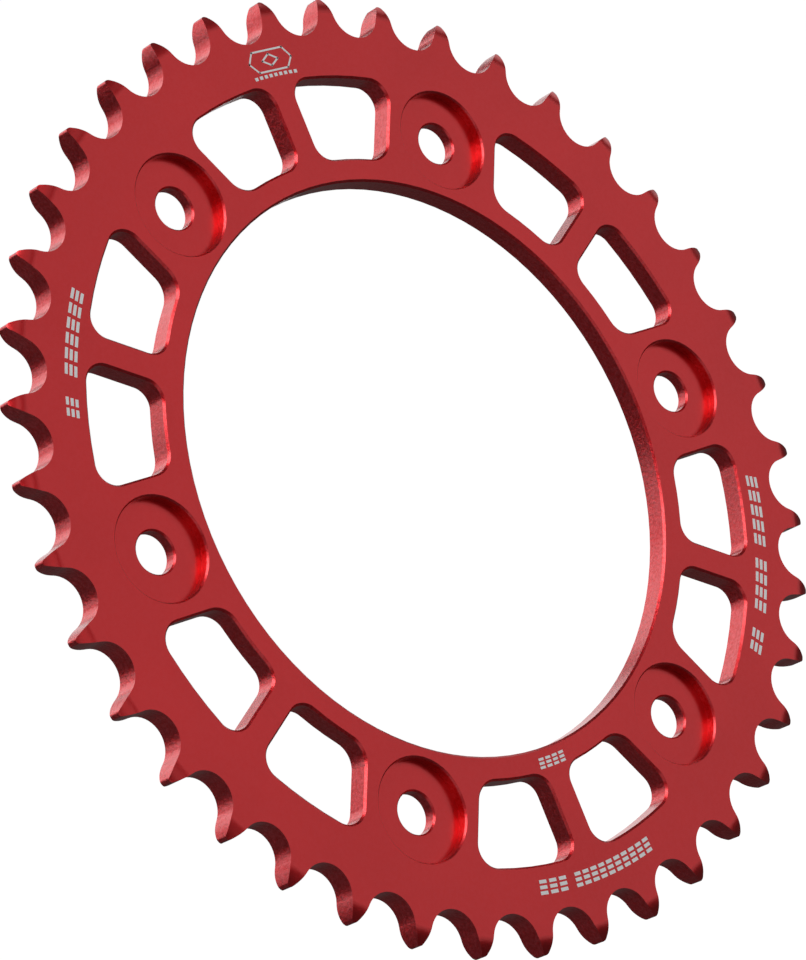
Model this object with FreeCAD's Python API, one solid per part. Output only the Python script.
import FreeCAD, Part
import math
import os

# Rear drive sprocket of a motorcycle: one flat aluminium plate, turned, cut and machined from
# one blank.  Frame: origin at the centre of the bore, halfway through the plate.  The sprocket's
# axis is Y.  The face with the counterbores looks towards -Y, the hub sits on the +Y side, and
# one bolt hole stands straight above the bore, towards +Z.  Sizes are millimetres and degrees.

# Chain and teeth
CHAIN_PITCH = 15.875          # 5/8 inch chain
ROLLER_DIAMETER = 10.16
TOOTH_COUNT = 40
SEAT_RADIUS = 5.95            # arc that the chain roller sits in, with clearance round it
SEAT_HALF_ANGLE = 73.0        # how far the seat arc reaches round from the bottom of the gap
FLANK_RADIUS = 15.9           # convex side of a tooth
TIP_RADIUS_FROM_AXIS = 104.9  # from the sprocket's axis to the top of a tooth
FIRST_GAP_ANGLE = 0.894       # from +Z to the nearest tooth gap, clockwise from the front

# Plate
PLATE_THICKNESS = 5.3
BORE_RADIUS = 63.0
RELIEF_START_RADIUS = 101.1   # where both faces begin to curve in towards the tooth tips
RELIEF_CURVE_RADIUS = 6.2     # radius of that curve, seen edge on

# Bolt seats
BOLT_COUNT = 6
BOLT_CIRCLE_RADIUS = 76.6
BOLT_HOLE_RADIUS = 4.55
COUNTERBORE_RADIUS = 11.05
COUNTERBORE_DEPTH = 2.2

# Lightening windows, two between each pair of bolts
LAND_HALF_WIDTH = 14.6        # from a bolt's radial line to the side of the window beside it
SPOKE_HALF_WIDTH = 3.1        # half of the spoke between the two windows
WINDOW_INNER_RADIUS = 68.2
WINDOW_OUTER_RADIUS = 86.5
LAND_OUTER_FILLET = 4.4
LAND_INNER_FILLET = 5.2
SPOKE_OUTER_FILLET = 4.3
SPOKE_INNER_FILLET = 4.2

# Edge breaks
OPENING_EDGE_BREAK = 0.45     # bore and windows
HOLE_EDGE_BREAK = 0.35        # bolt holes and counterbores

CUT_MARGIN = 2.0              # how far a cutting tool stands out of the plate

HALF_THICKNESS = PLATE_THICKNESS / 2
PITCH_RADIUS = CHAIN_PITCH / (2 * math.sin(math.pi / TOOTH_COUNT))
ROOT_RADIUS = PITCH_RADIUS - ROLLER_DIAMETER / 2
BOLT_SPACING = 360.0 / BOLT_COUNT
AXIS = FreeCAD.Vector(0, 0, 1)
ORIGIN = FreeCAD.Vector(0, 0, 0)


# The plate is drawn lying flat, with its counterbored face up, and is stood up at the end.


def polar(radius, degrees):
    """A point in the drawing plane, its angle counted from +X towards +Y."""
    angle = math.radians(degrees)
    return FreeCAD.Vector(radius * math.cos(angle), radius * math.sin(angle), 0)


def arc_between(start, centre, end):
    """The shorter arc about a centre, from one point to another."""
    middle = (start - centre) + (end - centre)
    middle.normalize()
    middle = centre + middle * (start - centre).Length
    return Part.Arc(start, middle, end).toShape()


def tooth_gap_half(side):
    """Edges from the bottom of a gap on +X up to the top of the tooth, on side +1 or -1."""
    roller = FreeCAD.Vector(ROOT_RADIUS + SEAT_RADIUS, 0, 0)
    turn = math.radians(SEAT_HALF_ANGLE)
    outward = FreeCAD.Vector(-math.cos(turn), side * math.sin(turn), 0)
    bottom = FreeCAD.Vector(ROOT_RADIUS, 0, 0)
    seat_end = roller + outward * SEAT_RADIUS
    flank_centre = seat_end + outward * FLANK_RADIUS
    # The round top of the tooth is centred on the tooth's own line and touches both flanks.
    tooth_line = polar(1.0, side * 180.0 / TOOTH_COUNT)
    spare = FLANK_RADIUS - TIP_RADIUS_FROM_AXIS
    reach = (flank_centre.Length ** 2 - spare ** 2) / (2 * (spare + tooth_line.dot(flank_centre)))
    tip_centre = tooth_line * reach
    towards_tip = tip_centre - flank_centre
    towards_tip.normalize()
    flank_end = flank_centre + towards_tip * FLANK_RADIUS
    top = tooth_line * TIP_RADIUS_FROM_AXIS
    return [
        arc_between(bottom, roller, seat_end),
        arc_between(seat_end, flank_centre, flank_end),
        arc_between(flank_end, tip_centre, top),
    ]


def tooth_outline():
    """The closed outline of all the teeth."""
    edges = []
    for index in range(TOOTH_COUNT):
        angle = 90.0 - FIRST_GAP_ANGLE + index * 360.0 / TOOTH_COUNT
        for edge in tooth_gap_half(1) + tooth_gap_half(-1):
            edge.rotate(ORIGIN, AXIS, angle)
            edges.append(edge)
    return Part.Wire(Part.__sortEdges__(edges))


def window_prism():
    """The window on the right of the top bolt hole, with rounded corners, as a tall prism."""
    spoke_angle = 90.0 - BOLT_SPACING / 2
    along_spoke = polar(1.0, spoke_angle)
    across_spoke = polar(SPOKE_HALF_WIDTH, spoke_angle + 90.0)

    def land_corner(radius):
        return FreeCAD.Vector(LAND_HALF_WIDTH, math.sqrt(radius ** 2 - LAND_HALF_WIDTH ** 2), 0)

    def spoke_corner(radius):
        return along_spoke * math.sqrt(radius ** 2 - SPOKE_HALF_WIDTH ** 2) + across_spoke

    land_inner = land_corner(WINDOW_INNER_RADIUS)
    land_outer = land_corner(WINDOW_OUTER_RADIUS)
    spoke_outer = spoke_corner(WINDOW_OUTER_RADIUS)
    spoke_inner = spoke_corner(WINDOW_INNER_RADIUS)
    outline = Part.Wire([
        Part.makeLine(land_inner, land_outer),
        arc_between(land_outer, ORIGIN, spoke_outer),
        Part.makeLine(spoke_outer, spoke_inner),
        arc_between(spoke_inner, ORIGIN, land_inner),
    ])
    prism = Part.Face(outline).extrude(AXIS * PLATE_THICKNESS)
    prism.translate(AXIS * -HALF_THICKNESS)
    for corner, fillet in (
        (land_inner, LAND_INNER_FILLET),
        (land_outer, LAND_OUTER_FILLET),
        (spoke_outer, SPOKE_OUTER_FILLET),
        (spoke_inner, SPOKE_INNER_FILLET),
    ):
        upright = min(prism.Edges, key=lambda edge: (edge.CenterOfMass - corner).Length)
        prism = prism.makeFillet(fillet, [upright])
    return prism


def window_wires():
    """The outlines of all the windows, at the height of the plate's lower face."""
    right = window_prism()
    left = right.mirror(ORIGIN, FreeCAD.Vector(1, 0, 0))
    wires = []
    for index in range(BOLT_COUNT):
        for window in (right, left):
            turned = window.copy()
            turned.rotate(ORIGIN, AXIS, index * BOLT_SPACING)
            floor = min(turned.Faces, key=lambda face: face.CenterOfMass.z)
            wires.append(floor.OuterWire)
    return wires


def opening_edges(shape):
    """The edges of the bore and the windows that lie in the plate's two faces."""
    chosen = []
    for edge in shape.Edges:
        box = edge.BoundBox
        flat = box.ZLength < 0.001 and abs(abs(box.ZMin) - HALF_THICKNESS) < 0.001
        radius = math.hypot(edge.Vertexes[0].X, edge.Vertexes[0].Y)
        if flat and radius < (WINDOW_OUTER_RADIUS + ROOT_RADIUS) / 2:
            chosen.append(edge)
    return chosen


def pierced_plate():
    """The flat plate with its teeth, bore and windows, the openings' edges broken."""
    outline = tooth_outline()
    outline.translate(AXIS * -HALF_THICKNESS)
    bore = Part.Wire(Part.makeCircle(BORE_RADIUS, AXIS * -HALF_THICKNESS))
    face = Part.Face(outline)
    for hole in [bore] + window_wires():
        face = face.cut(Part.Face(hole))
    plate = face.Faces[0].extrude(AXIS * PLATE_THICKNESS)
    return plate.makeChamfer(OPENING_EDGE_BREAK, opening_edges(plate))


def turned_blank():
    """A disc whose faces curve in towards its rim, which thins the tooth tips."""
    rim = TIP_RADIUS_FROM_AXIS + CUT_MARGIN
    rise = rim - RELIEF_START_RADIUS

    def relief_height(distance):
        drop = RELIEF_CURVE_RADIUS - math.sqrt(RELIEF_CURVE_RADIUS ** 2 - distance ** 2)
        return HALF_THICKNESS - drop

    def point(radius, height):
        return FreeCAD.Vector(radius, 0, height)

    start = RELIEF_START_RADIUS
    half = start + rise / 2
    edges = [
        Part.makeLine(point(0, -HALF_THICKNESS), point(start, -HALF_THICKNESS)),
        Part.Arc(
            point(start, -HALF_THICKNESS),
            point(half, -relief_height(rise / 2)),
            point(rim, -relief_height(rise)),
        ).toShape(),
        Part.makeLine(point(rim, -relief_height(rise)), point(rim, relief_height(rise))),
        Part.Arc(
            point(rim, relief_height(rise)),
            point(half, relief_height(rise / 2)),
            point(start, HALF_THICKNESS),
        ).toShape(),
        Part.makeLine(point(start, HALF_THICKNESS), point(0, HALF_THICKNESS)),
        Part.makeLine(point(0, HALF_THICKNESS), point(0, -HALF_THICKNESS)),
    ]
    return Part.Face(Part.Wire(edges)).revolve(ORIGIN, AXIS, 360)


def bolt_seat_cutter():
    """The bolt hole above the bore with its counterbore and edge breaks, as one turned tool."""
    floor = HALF_THICKNESS - COUNTERBORE_DEPTH
    steps = [
        (0, -HALF_THICKNESS - CUT_MARGIN),
        (BOLT_HOLE_RADIUS + HOLE_EDGE_BREAK + CUT_MARGIN, -HALF_THICKNESS - CUT_MARGIN),
        (BOLT_HOLE_RADIUS, -HALF_THICKNESS + HOLE_EDGE_BREAK),
        (BOLT_HOLE_RADIUS, floor - HOLE_EDGE_BREAK),
        (BOLT_HOLE_RADIUS + HOLE_EDGE_BREAK, floor),
        (COUNTERBORE_RADIUS, floor),
        (COUNTERBORE_RADIUS, HALF_THICKNESS - HOLE_EDGE_BREAK),
        (COUNTERBORE_RADIUS + HOLE_EDGE_BREAK + CUT_MARGIN, HALF_THICKNESS + CUT_MARGIN),
        (0, HALF_THICKNESS + CUT_MARGIN),
    ]
    points = [FreeCAD.Vector(radius, 0, height) for radius, height in steps]
    profile = Part.Face(Part.makePolygon(points + points[:1]))
    cutter = profile.revolve(ORIGIN, AXIS, 360)
    cutter.translate(FreeCAD.Vector(0, BOLT_CIRCLE_RADIUS, 0))
    return cutter


def sprocket_plate():
    """The whole sprocket, stood up in its own frame."""
    plate = pierced_plate().common(turned_blank())
    for index in range(BOLT_COUNT):
        cutter = bolt_seat_cutter()
        cutter.rotate(ORIGIN, AXIS, index * BOLT_SPACING)
        plate = plate.cut(cutter)
    plate = plate.Solids[0]
    plate.rotate(ORIGIN, FreeCAD.Vector(1, 0, 0), 90)
    return plate


def main():
    os.makedirs("parts", exist_ok=True)
    plate = sprocket_plate()
    plate.exportStep("parts/sprocket_plate.step")
    print("sprocket_plate", plate.isValid(), round(plate.Volume), plate.BoundBox)


main()
